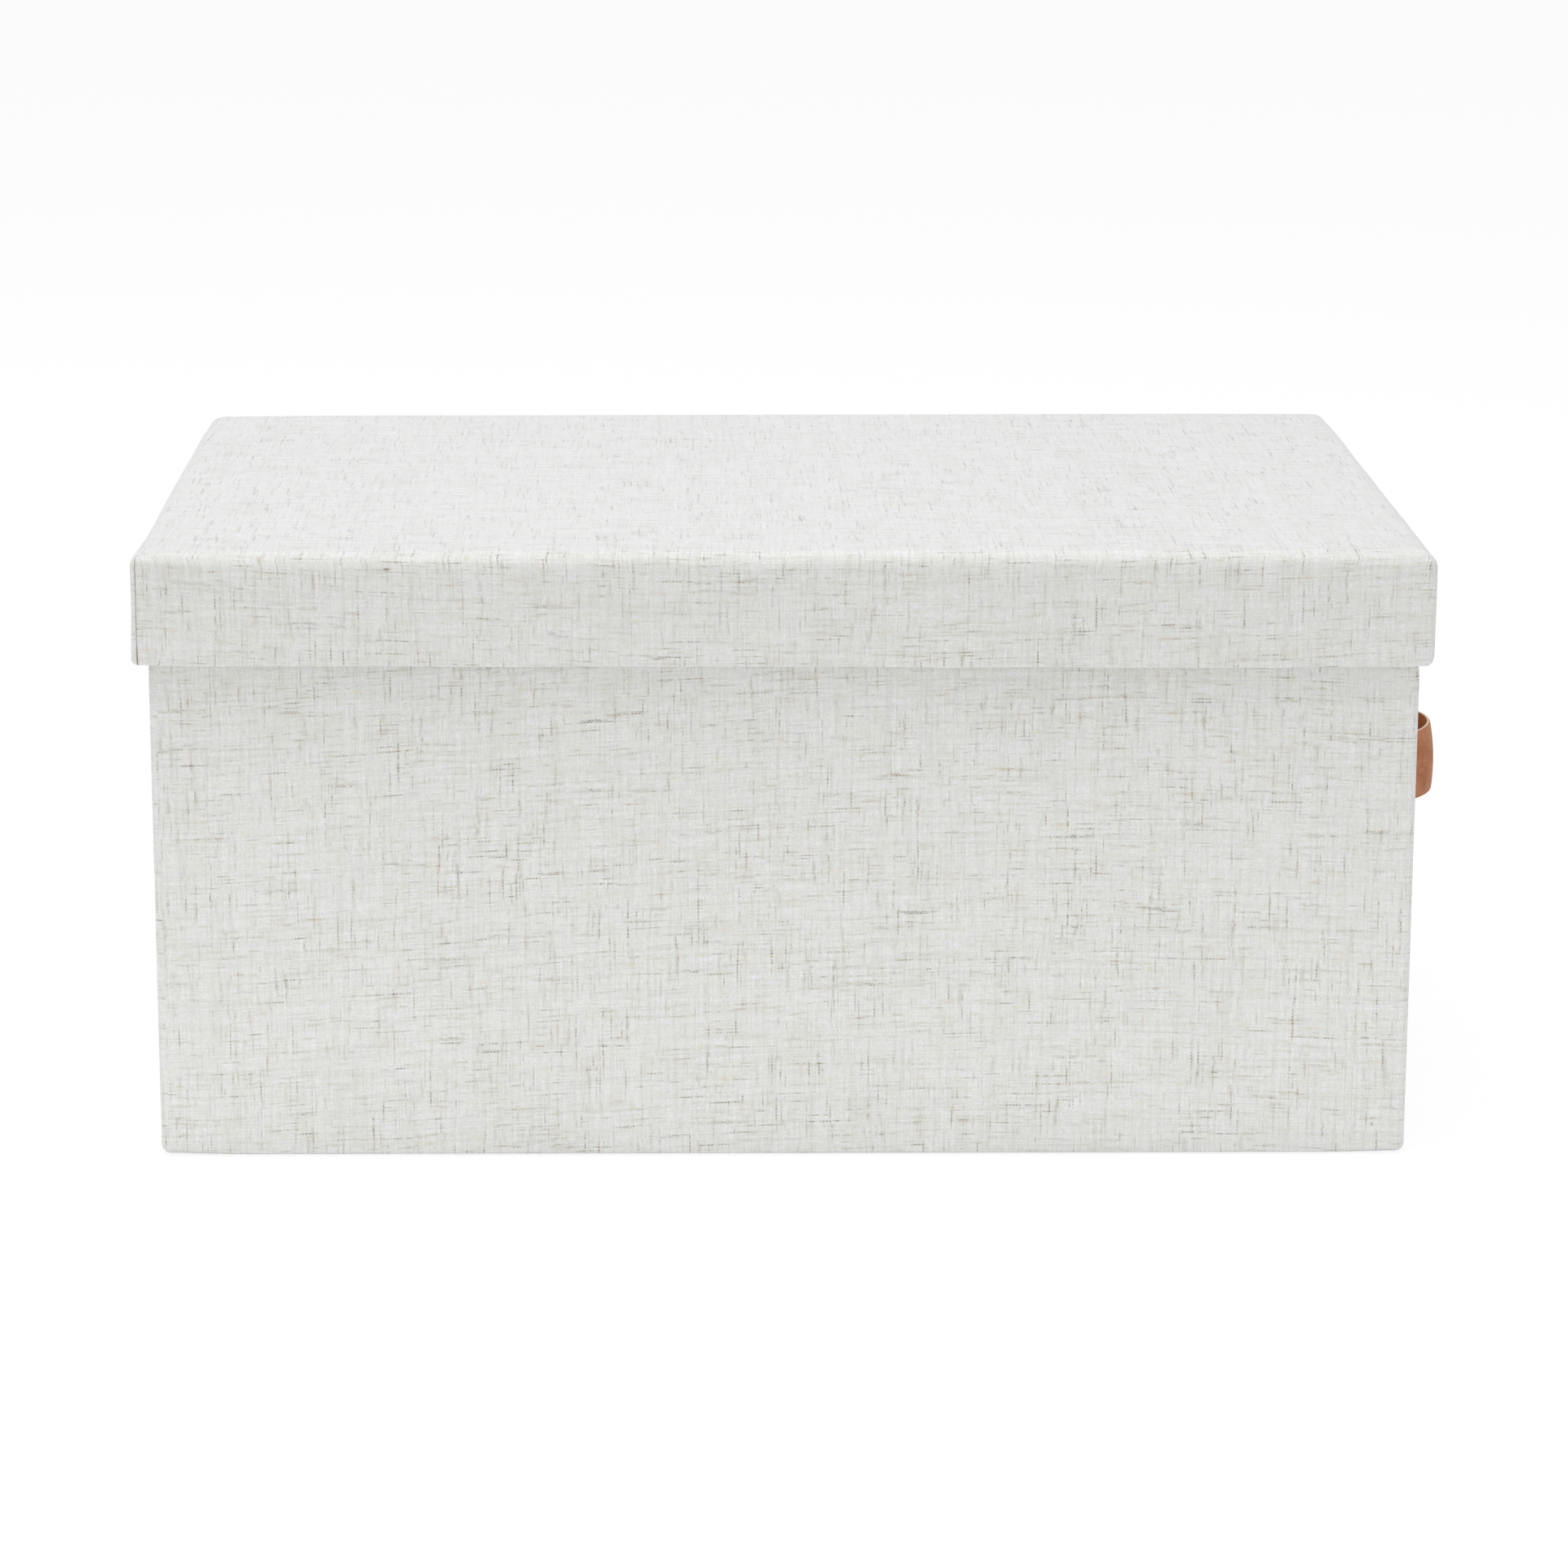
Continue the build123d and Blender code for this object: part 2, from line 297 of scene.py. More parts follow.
def linear(code):
    """An sRGB hex colour as linear red, green, blue and alpha."""
    parts = [int(code[i:i + 2], 16) / 255 for i in (1, 3, 5)]
    return tuple(p / 12.92 if p <= 0.04045 else ((p + 0.055) / 1.055) ** 2.4 for p in parts) + (1.0,)


def add(tree, kind, inputs=None, out=0, **settings):
    """Adds a node with its settings, sets or links its inputs, and gives one of its outputs."""
    made = tree.nodes.new(kind)
    for key, value in settings.items():
        setattr(made, key, value)
    for key, value in (inputs or {}).items():
        if isinstance(value, bpy.types.NodeSocket):
            tree.links.new(value, made.inputs[key])
        else:
            made.inputs[key].default_value = value
    return made.outputs[out] if made.outputs else None


def new_material(name):
    """An empty node material and its tree."""
    material = bpy.data.materials.new(name)
    material.use_nodes = True
    material.node_tree.nodes.clear()
    return material, material.node_tree


def surface(tree, **sockets):
    """Ends a material in its one shader."""
    named = {key.replace("_", " "): value for key, value in sockets.items()}
    shader = add(tree, "ShaderNodeBsdfPrincipled", named)
    add(tree, "ShaderNodeOutputMaterial", {"Surface": shader})


def crossings(tree, threads):
    """A plain weave's two directions: coordinates, thread numbers, which is on top, and how round it is."""
    coordinates = add(tree, "ShaderNodeSeparateXYZ", {0: threads}).node.outputs[:2]
    numbers, ridges = [], []
    for coordinate in coordinates:
        numbers.append(add(tree, CALC, {0: coordinate}, operation="FLOOR"))
        turn = add(tree, CALC, {0: coordinate, 1: math.pi}, operation="MULTIPLY")
        wave = add(tree, CALC, {0: turn}, operation="SINE")
        ridges.append(add(tree, CALC, {0: wave}, operation="ABSOLUTE"))
    crossing = add(tree, CALC, {0: numbers[0], 1: numbers[1]}, operation="ADD")
    on_top = add(tree, CALC, {0: crossing, 1: 2.0}, operation="FLOORED_MODULO")
    over = add(tree, MIX, {"Factor": on_top, 2: ridges[0], 3: ridges[1]})
    return coordinates, numbers, on_top, over


def spun_yarn(tree, number, along, seed, thread_mm, slub_share, fleck_share):
    """How one direction's yarn varies along each thread: slubs, their knots, their hue, tone and straw."""
    lane_spread, taper, thin_share, end_share = 900.0, 1.4, 0.15, 0.1
    chance = add(tree, "ShaderNodeTexWhiteNoise", {"W": number}, noise_dimensions="1D", out="Value")
    lane = add(tree, CALC, {0: chance, 1: lane_spread, 2: seed}, operation="MULTIPLY_ADD")
    spun = {}
    for kind, length_mm, detail in (
            ("slub", 18.0, 2.0), ("tone", 45.0, 2.0), ("knot", 2.2, 0.0), ("fleck", 9.0, 1.0)):
        place = add(tree, CALC, {0: along, 1: thread_mm / length_mm}, operation="MULTIPLY")
        line = add(tree, "ShaderNodeCombineXYZ", {0: lane, 1: place, 2: seed + length_mm})
        spun[kind] = add(tree, NOISE, {
            "Vector": line, "Scale": 1.0, "Detail": detail, "Roughness": 0.5}, out="Color")
    swelling, _, shade = add(tree, "ShaderNodeSeparateColor", {0: spun["slub"]}).node.outputs[:3]
    swollen = add(tree, RANGE, {"Value": swelling, "From Min": 0.56, "From Max": 0.72})
    slub = add(tree, CALC, {0: swollen, 1: taper}, operation="POWER")
    knot = add(tree, RANGE, {
        "Value": spun["knot"], "From Min": 0.4, "From Max": 0.58,
        "To Min": thin_share * slub_share, "To Max": slub_share})
    hue = add(tree, RANGE, {"Value": shade, "From Min": 0.42, "From Max": 0.58})
    tone = add(tree, RANGE, {"Value": spun["tone"], "From Min": 0.42, "From Max": 0.7, "To Max": 0.65})
    fleck = add(tree, RANGE, {
        "Value": spun["fleck"], "From Min": 0.6, "From Max": 0.78, "To Max": fleck_share})
    # A slub's thin ends are paler and more yellow than its middle.
    ends = add(tree, RANGE, {
        "Value": swelling, "From Min": 0.53, "From Max": 0.66, "To Max": end_share * fleck_share})
    straw = add(tree, CALC, {0: fleck, 1: ends}, operation="MAXIMUM")
    return slub, knot, hue, tone, straw


def marked(tree, uv, weave, tints, fleck_share, nub_share):
    """The weave's colour with soft stains along the threads, a few threads wide, and small nubs."""
    stain = 0.85 * fleck_share
    for wide, tall in ((2.5, 7.0), (8.0, 2.2)):
        place = add(tree, PLACE, {"Vector": uv, "Scale": (1 / (wide * MM), 1 / (tall * MM), 1)})
        stained = add(tree, NOISE, {"Vector": place, "Scale": 1.0, "Detail": 3.0}, out="Fac")
        share = add(tree, RANGE, {"Value": stained, "From Min": 0.61, "From Max": 0.79, "To Max": stain})
        weave = add(tree, MIX, {"Factor": share, FROM: weave, TO: tints["stain"]}, **COLOURS)
    for wide, tall in ((13.0, 27.0), (34.0, 14.0)):
        place = add(tree, PLACE, {"Vector": uv, "Scale": (1 / (wide * MM), 1 / (tall * MM), 1)})
        spots = add(tree, "ShaderNodeTexVoronoi", {"Vector": place, "Scale": 1.0}).node.outputs
        size = add(tree, RANGE, {"Value": spots["Color"], "From Min": 0.45, "To Max": 0.055})
        inside = add(tree, CALC, {0: size, 1: spots["Distance"]}, operation="SUBTRACT")
        share = add(tree, RANGE, {"Value": inside, "From Max": 0.025, "To Max": nub_share})
        weave = add(tree, MIX, {"Factor": share, FROM: weave, TO: tints["nub"]}, **COLOURS)
    return weave


def woven_cloth(name, thread_mm, tints, slub_share, fleck_share, grain_share, nub_share, roughness, sheen):
    """A plain weave on the piece's UV map: wandering threads, softly broken slubs with paler ends, straw
    flecks, soft stains, nubs and fibre fuzz, and painted shade in the gaps between the threads."""
    material, tree = new_material(name)
    tints = {part: linear(code) for part, code in tints.items()}
    dull, straw = tints["dull"], tints["straw"]
    uv = add(tree, "ShaderNodeTexCoord", out="UV")
    cloud_mm = 9
    per_thread, per_cloud = 1 / (thread_mm * MM), 1 / (cloud_mm * MM)
    even = add(tree, PLACE, {"Vector": uv, "Scale": (per_thread, per_thread, 1)})
    cloud_place = add(tree, PLACE, {"Vector": uv, "Scale": (per_cloud, per_cloud, 1)})
    # The threads wander a little to either side, over about this many threads.
    wander = 1.8
    drift = add(tree, NOISE, {
        "Vector": cloud_place, "Scale": 0.5, "Detail": 2.5, "Roughness": 0.4}, out="Color")
    threads = add(tree, "ShaderNodeVectorMath", {
        0: drift, 1: (wander, wander, 0.0), 2: even}, operation="MULTIPLY_ADD")
    coordinates, numbers, on_top, over = crossings(tree, threads)
    clouds = add(tree, NOISE, {"Vector": cloud_place, "Scale": 1.0, "Detail": 3.0}, out="Fac")
    cloudy = add(tree, RANGE, {"Value": clouds, "From Min": 0.38, "From Max": 0.62})
    base = add(tree, MIX, {"Factor": cloudy, FROM: tints["warm"], TO: tints["cool"]}, **COLOURS)
    # In some places slubs crowd together.
    crowds = add(tree, NOISE, {"Vector": cloud_place, "Scale": 0.4, "Detail": 1.0}, out="Fac")
    crowded = add(tree, RANGE, {"Value": crowds, "From Min": 0.35, "From Max": 0.65, "To Min": 0.45})
    # The thread on top is round: its slubs thin towards its two sides, and the gaps along them are darkened
    # as painted shade.
    round_off = add(tree, RANGE, {"Value": over, "From Max": 0.6, "To Min": 0.75})
    gap_shade = add(tree, RANGE, {"Value": over, "From Max": 0.6, "To Min": 0.35, "To Max": 0.0})
    yarns, slubs, straws = [], [], []
    for number, along, seed in ((numbers[0], coordinates[1], 3.7), (numbers[1], coordinates[0], 41.3)):
        slub, knot, hue, tone, straw_share = spun_yarn(
            tree, number, along, seed, thread_mm, slub_share, fleck_share)
        slubby = add(tree, CALC, {0: slub, 1: crowded}, operation="MULTIPLY")
        lumpy = add(tree, CALC, {0: slubby, 1: knot}, operation="MULTIPLY")
        thick = add(tree, CALC, {0: lumpy, 1: round_off}, operation="MULTIPLY")
        plain = add(tree, MIX, {"Factor": tone, FROM: base, TO: dull}, **COLOURS)
        dark = add(tree, MIX, {"Factor": hue, FROM: tints["slub"], TO: straw}, **COLOURS)
        yarns.append(add(tree, MIX, {"Factor": thick, FROM: plain, TO: dark}, **COLOURS))
        slubs.append(slubby)
        straws.append(straw_share)
    # The thread below still shows, past the sides of the one on top.
    shown = add(tree, RANGE, {"Value": on_top, "To Min": 0.3, "To Max": 0.7})
    weave = add(tree, MIX, {"Factor": shown, FROM: yarns[0], TO: yarns[1]}, **COLOURS)
    for share in straws:
        weave = add(tree, MIX, {"Factor": share, FROM: weave, TO: straw}, **COLOURS)
    weave = marked(tree, uv, weave, tints, fleck_share, nub_share)
    # Each crossing differs a little in tone, fibres fuzz the threads, and the gaps between threads are
    # darkened as painted shade.
    cell = add(tree, "ShaderNodeCombineXYZ", {0: numbers[0], 1: numbers[1]})
    speck = add(tree, "ShaderNodeTexWhiteNoise", {"Vector": cell}, noise_dimensions="2D", out="Value")
    fibres = add(tree, NOISE, {"Vector": threads, "Scale": 2.2, "Detail": 1.0}, out="Fac")
    fuzz = add(tree, RANGE, {"Value": fibres, "From Min": 0.5, "From Max": 0.7, "To Max": 0.45})
    fuzz_and_gap_shade = add(tree, CALC, {0: fuzz, 1: gap_shade}, operation="ADD")
    # This grain mix also carries the painted shade of the gaps.
    grain = add(tree, CALC, {0: speck, 1: grain_share, 2: fuzz_and_gap_shade}, operation="MULTIPLY_ADD")
    grain_fuzz_and_shade = add(tree, MIX, {"Factor": grain, FROM: weave, TO: dull}, **COLOURS)
    # Where a cut edge shows, beside the lid's corners, it is brown.
    raw = add(tree, "ShaderNodeAttribute", attribute_name="raw_edge", out="Fac")
    coloured = add(tree, MIX, {"Factor": raw, FROM: grain_fuzz_and_shade, TO: linear("#8f6f4e")}, **COLOURS)
    raised = add(tree, CALC, {0: slubs[0], 1: slubs[1]}, operation="MAXIMUM")
    slub_rise = 0.8
    height = add(tree, CALC, {0: raised, 1: slub_rise, 2: over}, operation="MULTIPLY_ADD")
    bump = add(tree, "ShaderNodeBump", {"Height": height, "Strength": 0.3, "Distance": 0.1 * MM})
    surface(tree, Base_Color=coloured, Roughness=roughness, Normal=bump, Specular_IOR_Level=0.25,
            Sheen_Weight=sheen, Sheen_Roughness=0.5, Sheen_Tint=linear("#f3f1fd"))
    return material


# Linen-look cotton and flax, plain weave, unbleached: matt and off-white, clouded between a cool and a warm
# white. Thicker grey and straw-coloured slubs run both ways as softly broken strokes with paler ends, among
# straw flecks and soft straw stains. Loose fibre ends veil it at a flat angle. Its thread spacing of 0.52 mm
# is drawn as 0.6 mm, so that it shows.
linen = woven_cloth(
    "slub_linen", thread_mm=0.6, slub_share=1.4, fleck_share=0.4, grain_share=0.3, nub_share=0.8,
    roughness=0.92, sheen=0.6, tints={
        "cool": "#f4f6f8", "warm": "#f2f2f0", "dull": "#cfcfc7", "slub": "#41371e",
        "straw": "#9a7e38", "nub": "#6e5138", "stain": "#d9c684"})

# Plain cotton lining, fine and even: warmer and smoother than the outside cloth, with few slubs. Its real
# thread spacing of 0.35 mm is drawn as 0.6 mm, so that a weave still shows.
cotton = woven_cloth(
    "cotton_lining", thread_mm=0.6, slub_share=0.5, fleck_share=0.25, grain_share=0.2, nub_share=0.4,
    roughness=0.9, sheen=0.1, tints={
        "cool": "#e6e2d8", "warm": "#e0dbcf", "dull": "#cfc9bb", "slub": "#b5ad9c",
        "straw": "#d3c6a8", "nub": "#c3b396", "stain": "#d8cba6"})


def fibre_stock(name, base, dark, light, fleck_mm, roughness, bump_mm):
    """Board or paper of pressed fibres on object coordinates: clouds, flecks and a felted surface."""
    material, tree = new_material(name)
    cloud_mm = 14
    place = add(tree, "ShaderNodeTexCoord", out="Object")
    clouds = add(tree, NOISE, {"Vector": place, "Scale": 1 / (cloud_mm * MM), "Detail": 3.0}, out="Fac")
    flecks = add(tree, NOISE, {"Vector": place, "Scale": 1 / (fleck_mm * MM), "Detail": 2.0}, out="Fac")
    cloudy = add(tree, MIX, {"Factor": clouds, FROM: linear(dark), TO: linear(base)}, **COLOURS)
    share = add(tree, RANGE, {"Value": flecks, "From Min": 0.55, "From Max": 0.75, "To Max": 0.7})
    flecked = add(tree, MIX, {"Factor": share, FROM: cloudy, TO: linear(light)}, **COLOURS)
    bump = add(tree, "ShaderNodeBump", {"Height": flecks, "Strength": 0.4, "Distance": bump_mm * MM})
    surface(tree, Base_Color=flecked, Roughness=roughness, Normal=bump, Specular_IOR_Level=0.2)
    return material


# Greyboard, pressed from waste paper: matt, grey-brown, clouded, with paler fibre flecks.
greyboard = fibre_stock(
    "greyboard", "#9d968b", "#857e73", "#b8b1a4", fleck_mm=0.9, roughness=0.95, bump_mm=0.1)
# Kraft paper tape: matt mid brown with short darker and paler fibres.
kraft = fibre_stock(
    "kraft_paper_tape", "#b08d62", "#96744b", "#c6a77d", fleck_mm=0.7, roughness=0.85, bump_mm=0.05)
# Uncoated base paper: off-white, matt, faintly clouded.
paper = fibre_stock(
    "uncoated_base_paper", "#d6d0c4", "#cbc4b6", "#e2dccf", fleck_mm=0.6, roughness=0.9, bump_mm=0.04)
# Polyester wadding: white, fluffy, matt, with soft tufts.
wadding = fibre_stock(
    "polyester_wadding", "#efeeea", "#e1e0da", "#f7f6f2", fleck_mm=2.5, roughness=1.0, bump_mm=1.2)


def tan_leather():
    """Vegetable-tanned strap leather: fine pebbled grain, darker clouds, pale scratches, pale cut edges, and
    an inner face painted darker as shade.
    """
    material, tree = new_material("vegetable_tanned_leather")
    cloud_mm, pebble_mm, scratch_mm, scratch_wide_mm, slant = 7, 0.7, 9, 0.35, 0.5
    uv = add(tree, "ShaderNodeTexCoord", out="UV")
    side = add(tree, "ShaderNodeAttribute", attribute_name="leather_side", out="Fac")
    clouds = add(tree, NOISE, {"Vector": uv, "Scale": 1 / (cloud_mm * MM), "Detail": 4.0}, out="Fac")
    grain = add(tree, "ShaderNodeTexVoronoi", {"Vector": uv, "Scale": 1 / (pebble_mm * MM)}, out="Distance")
    streak_place = add(tree, PLACE, {
        "Vector": uv, "Scale": (1 / (scratch_mm * MM), 1 / (scratch_wide_mm * MM), 1),
        "Rotation": (0, 0, slant)})
    streaks = add(tree, NOISE, {"Vector": streak_place, "Scale": 1.0, "Detail": 2.0}, out="Fac")
    cloudy = add(tree, RANGE, {"Value": clouds, "From Min": 0.35, "From Max": 0.68})
    outer = add(tree, MIX, {"Factor": cloudy, FROM: linear("#9d5b2e"), TO: linear("#b6764e")}, **COLOURS)
    scratch = add(tree, RANGE, {"Value": streaks, "From Min": 0.63, "From Max": 0.72, "To Max": 0.45})
    worn = add(tree, MIX, {"Factor": scratch, FROM: outer, TO: linear("#cfa88a")}, **COLOURS)
    # The inner face is a slightly darker copy of the outer face's browns, which is painted shade.
    inner = add(tree, MIX, {"Factor": cloudy, FROM: linear("#955129"), TO: linear("#b3683a")}, **COLOURS)
    # The side is 1 on the outer face, -1 on the inner one and between them round a cut edge.
    to_outer = add(tree, RANGE, {"Value": side, "From Min": 0.45, "From Max": 0.75})
    to_shaded_inner = add(tree, RANGE, {"Value": side, "From Min": -0.45, "From Max": -0.75})
    cut = add(tree, MIX, {"Factor": clouds, FROM: linear("#cbb196"), TO: linear("#e0cbb4")}, **COLOURS)
    with_outer = add(tree, MIX, {"Factor": to_outer, FROM: cut, TO: worn}, **COLOURS)
    colour = add(tree, MIX, {"Factor": to_shaded_inner, FROM: with_outer, TO: inner}, **COLOURS)
    rough = add(tree, RANGE, {"Value": grain, "To Min": 0.45, "To Max": 0.7})
    bump = add(tree, "ShaderNodeBump", {"Height": grain, "Strength": 0.3, "Distance": 0.12 * MM})
    surface(tree, Base_Color=colour, Roughness=rough, Normal=bump, Specular_IOR_Level=0.33)
    return material


def aged_brass():
    """Stamped brass: satin yellow metal, clouded by brown tarnish that is duller."""
    material, tree = new_material("aged_stamped_brass")
    spot_mm = 2.5
    place = add(tree, "ShaderNodeTexCoord", out="Object")
    tarnish = add(tree, NOISE, {"Vector": place, "Scale": 1 / (spot_mm * MM), "Detail": 4.0}, out="Fac")
    share = add(tree, RANGE, {"Value": tarnish, "From Min": 0.42, "From Max": 0.7})
    colour = add(tree, MIX, {"Factor": share, FROM: linear("#c9a765"), TO: linear("#8f7443")}, **COLOURS)
    rough = add(tree, RANGE, {"Value": share, "To Min": 0.28, "To Max": 0.5})
    surface(tree, Base_Color=colour, Metallic=1.0, Roughness=rough)
    return material


leather = tan_leather()
brass = aged_brass()


# Covers and linings

def box_profile(girth):
    """Inset and height of the box cover's rows, from the hem under the base to the hem inside."""
    floor_level, rim_level = box_low[2], box_high[2]
    # The fold under the base is crisp along the walls and rounder at the corners, most at the front left.
    crisp_edge, rim_edge = 1.2 * MM, 1.1 * MM
    near = girth.near_corners(14 * MM)
    corner_edge = base_edge_radius + girth.at_corners(0.8, 0.2, 0.0, 0.0)
    edge = crisp_edge * (1 - near) + corner_edge * near
    foot = floor_level + edge
    wall_top = rim_level - rim_edge
    hem = rim_level - cloth_thickness - rim_turn_in
    return [
        (base_turn_in, floor_level),
        (0.5 * base_turn_in, floor_level),
        *rounding((edge, foot), (0.0, -edge), (-edge, 0.0), 6),
        *[(0.0, foot + (wall_top - foot) * share) for share in np.linspace(0, 1, 42)[1:]],
        *rounding((rim_edge, wall_top), (-rim_edge, 0.0), (0.0, rim_edge), 5)[1:],
        *rounding((box_fold - rim_edge, wall_top), (0.0, rim_edge), (rim_edge, 0.0), 5),
        *[(box_fold, height) for height in np.linspace(wall_top, hem, 5)[1:]],
    ]


def box_cover():
    """Cloth round the walls: turned under the base, up the walls, over the rim and down inside."""
    # The strip's end laps over its start on the back wall, near the left corner.
    lap, lap_side, lap_step, lap_height = 14.0 * MM, 2, 0.3 * MM, 0.5 * MM
    corner_radius, least_radius = 3.0 * MM, 0.8 * MM
    girth = Girth(box_high, corner_radius, first=0.8 * MM, extra={lap_side: (lap, lap + lap_step)})
    lap_run = girth.middles[lap_side] + girth.half[0] - girth.radius - lap
    past_lap = girth.run > lap_run - 0.1 * MM
    lapped = (girth.side == lap_side) & ~past_lap
    lap_lift = lap_height * lapped * (1 - ease(lap_run - girth.run, 10 * MM, 30 * MM))
    # The end walls stand out a little towards their corners, more on the right, but not inside the lid.
    flare_right, flare_left = 1.1 * MM, -0.3 * MM
    flare = np.where(girth.anchor[:, 0] > 0, flare_right, flare_left) * girth.near_corners(25 * MM)
    # The walls swell in slow waves, away from the corners and the foot.
    swell_height, swell_length, swell_seed = 0.25 * MM, 90 * MM, 11
    away = ease(girth.from_end, 0, 40 * MM)
    rows = []
    for inset, height in box_profile(girth):
        deepest = np.max(inset)
        outside = deepest < base_edge_radius
        on_wall = (deepest == 0.0) * ease(height, 3 * MM, 20 * MM)
        swell = swell_height * waves(girth.run, height, swell_length, swell_seed) * away * on_wall
        row = girth.row(inset - swell - lap_lift * outside, height, least_radius)
        flared = (1 - ease(height, 172 * MM, 185 * MM)) * (1 - ease(deepest, 2 * MM, 9 * MM))
        row[:, 0] += flare * flared
        rows.append(row)
    # The cross threads rise a little to the right, most in the middle of each long wall.
    rise, wall = 0.024, 2 * box_high[0]

    def skewed(flap, run, place, reach, whole):
        climb = rise * run - 0.5 * rise * wall / (2 * math.pi) * np.sin(2 * math.pi * run / wall)
        return strip(flap, run, place, reach - climb, whole)

    piece = skin("box_cover", girth, rows, past_lap.astype(int), skewed, linen, "box")
    thicken(piece, cloth_thickness)
    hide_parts("outer_cloth")


def lid_profile(girth, near, flat_from):
    """Inset and height of the lid cover's rows, from the hem inside the rim to the flat of the top."""
    top = lid_high[2]
    # The padding is squeezed thin at the corners, most at the front left one.
    padded_edge, corner_edge = 5.9 * MM, girth.at_corners(4.0, 6.0, 7.2, 7.7)
    edge = padded_edge * (1 - near) + corner_edge * near
    # The rim's lower edge hangs lower on the right, wanders, and is drawn up and in at the corners.
    hang, wander, wave_length, seed = 0.8 * MM, 0.18 * MM, 60 * MM, 5
    lower = lid_low[2] - hang * girth.anchor[:, 0] + wander * waves(girth.run, 0.0, wave_length, seed)
    lower = lower + girth.at_corners(0.1, 0.25, 0.2, 0.15) * girth.near_corners(5 * MM)
    crisp_foot, hem_round = 0.8 * MM, 1.2 * MM
    crushed = girth.near_corners(12 * MM)
    foot = crisp_foot * (1 - crushed) + girth.at_corners(2.1, 2.3, 2.2, 2.1) * crushed
    foot_rise = crisp_foot * (1 - crushed) + girth.at_corners(2.3, 4.4, 3.2, 2.8) * crushed
    side = top - edge - lower - foot_rise
    return [
        (lid_fold, lower + cloth_thickness + lid_turn_in),
        (lid_fold, lower + 0.5 * lid_turn_in),
        *rounding((lid_fold - hem_round, lower + hem_round), (hem_round, 0.0), (0.0, -hem_round), 5),
        *rounding((foot, lower + foot_rise), (0.0, -foot_rise), (-foot, 0.0), 7),
        *[(0.0, lower + foot_rise + side * share) for share in np.linspace(0, 1, 11)[1:]],
        *rounding((edge, top - edge), (-edge, 0.0), (0.0, edge), 12)[1:],
        *[(edge + (flat_from - edge) * share, top) for share in (0.4, 1.0)],
    ]


def lid_cover():
    """Cloth over the padded lid: soft top edges, folded corners, and a hem turned in under the rim."""
    girth = Girth(lid_high, 1.6 * MM, first=0.2 * MM, growth=1.3)
    near = girth.near_corners(26 * MM)
    flat_from = 11.0 * MM
    # Each side's cloth laps over a tab of the side before it, and starts in a narrow groove by the corner.
    groove_start, groove_end, cut_end = 0.15 * MM, 0.3 * MM, 0.6 * MM
    groove_depth, flap_height = 0.4 * MM, 0.25 * MM
    straight = girth.side % 1 == 0
    before_groove = straight & (girth.from_start < groove_start)
    in_groove = straight & (girth.from_start > groove_start) & (girth.from_start < groove_end)
    beside_groove = straight & (girth.from_start > groove_end) & (girth.from_start < cut_end)
    flap_lift = flap_height * (1 - ease(girth.from_start, 4 * MM, 18 * MM))
    lift = np.where(in_groove, -groove_depth, np.where(straight & ~before_groove, flap_lift, 0.0))
    # The rim's lower part leans in at the corners, but out at the front left one.
    lean, rim = girth.at_corners(-0.5, 0.15, 0.2, 0.1), lid_low[2]
    swell_height, swell_length, swell_seed = 0.2 * MM, 70 * MM, 23
    away = ease(girth.from_end, 0, 30 * MM)
    rows, insets, raw = [], [], []
    for inset, height in lid_profile(girth, near, flat_from):
        low = 1 - ease(height, rim, rim + 24 * MM)
        outside = 1 - ease(inset, 0.0, 3.0 * MM)
        swell = (swell_height * waves(girth.run, height, swell_length, swell_seed) * away
                 + lift - lean * low * near)
        least_radius = 0.6 * MM + 1.0 * MM * ease(inset, 2.0 * MM, 3.6 * MM)
        rows.append(girth.row(inset - swell * outside, height, least_radius))
        insets.append(np.broadcast_to(inset, girth.count))
        # The groove opens at its foot and shows more of the cloth's cut edge there.
        open_fold = 1 - ease(height, rim + 5 * MM, rim + 9 * MM)
        raw.append(outside * (in_groove * (0.4 + 0.6 * open_fold) + 0.6 * beside_groove * open_fold))
    insets = np.array(insets)
    quad_side = np.floor(girth.side).astype(int)
    flaps = np.where(before_groove, (quad_side + 3) % 4, quad_side)

    def lay(flap, run, place, reach, whole):
        across = girth.from_middle(flap, run, insets[place])
        wide, deep = (half - flat_from + whole - reach for half in girth.half)
        u = np.choose(flap, [across, wide, -across, -wide])
        v = np.choose(flap, [-deep, across, deep, -across])
        return np.stack([u, v], axis=-1)

    piece = skin("lid_cover", girth, rows, flaps, lay, linen, "lid", panels=[len(rows) - 1])
    on_panel = len(piece.data.vertices) - len(rows) * girth.count
    note_points(piece, "raw_edge", np.append(np.ravel(raw), np.zeros(on_panel)))
    thicken(piece, cloth_thickness)
    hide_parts("lid_cloth")


# Linings are drawn a little thinner than they are, which leaves room for their swells.
ring_drawn = 0.4 * MM
sheet_drawn = 0.3 * MM
lining_swell = 0.12 * MM


def ring_lining(name, half, profile, body, node):
    """A lining strip that runs round the inside, its rows listed downwards."""
    corner_radius, least_radius, swell_length, swell_seed = 1.2 * MM, 0.7 * MM, 80 * MM, 31
    girth = Girth(half, corner_radius, first=1.5 * MM, arc_steps=6)
    away = ease(girth.from_end, 0, 30 * MM)
    rows = []
    for inset, height in profile:
        swell = lining_swell * waves(girth.run, height, swell_length, swell_seed) * away
        rows.append(girth.row(inset + swell, height, least_radius))
    piece = skin(name, girth, rows, 0, strip, cotton, body)
    thicken(piece, ring_drawn)
    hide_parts(node)


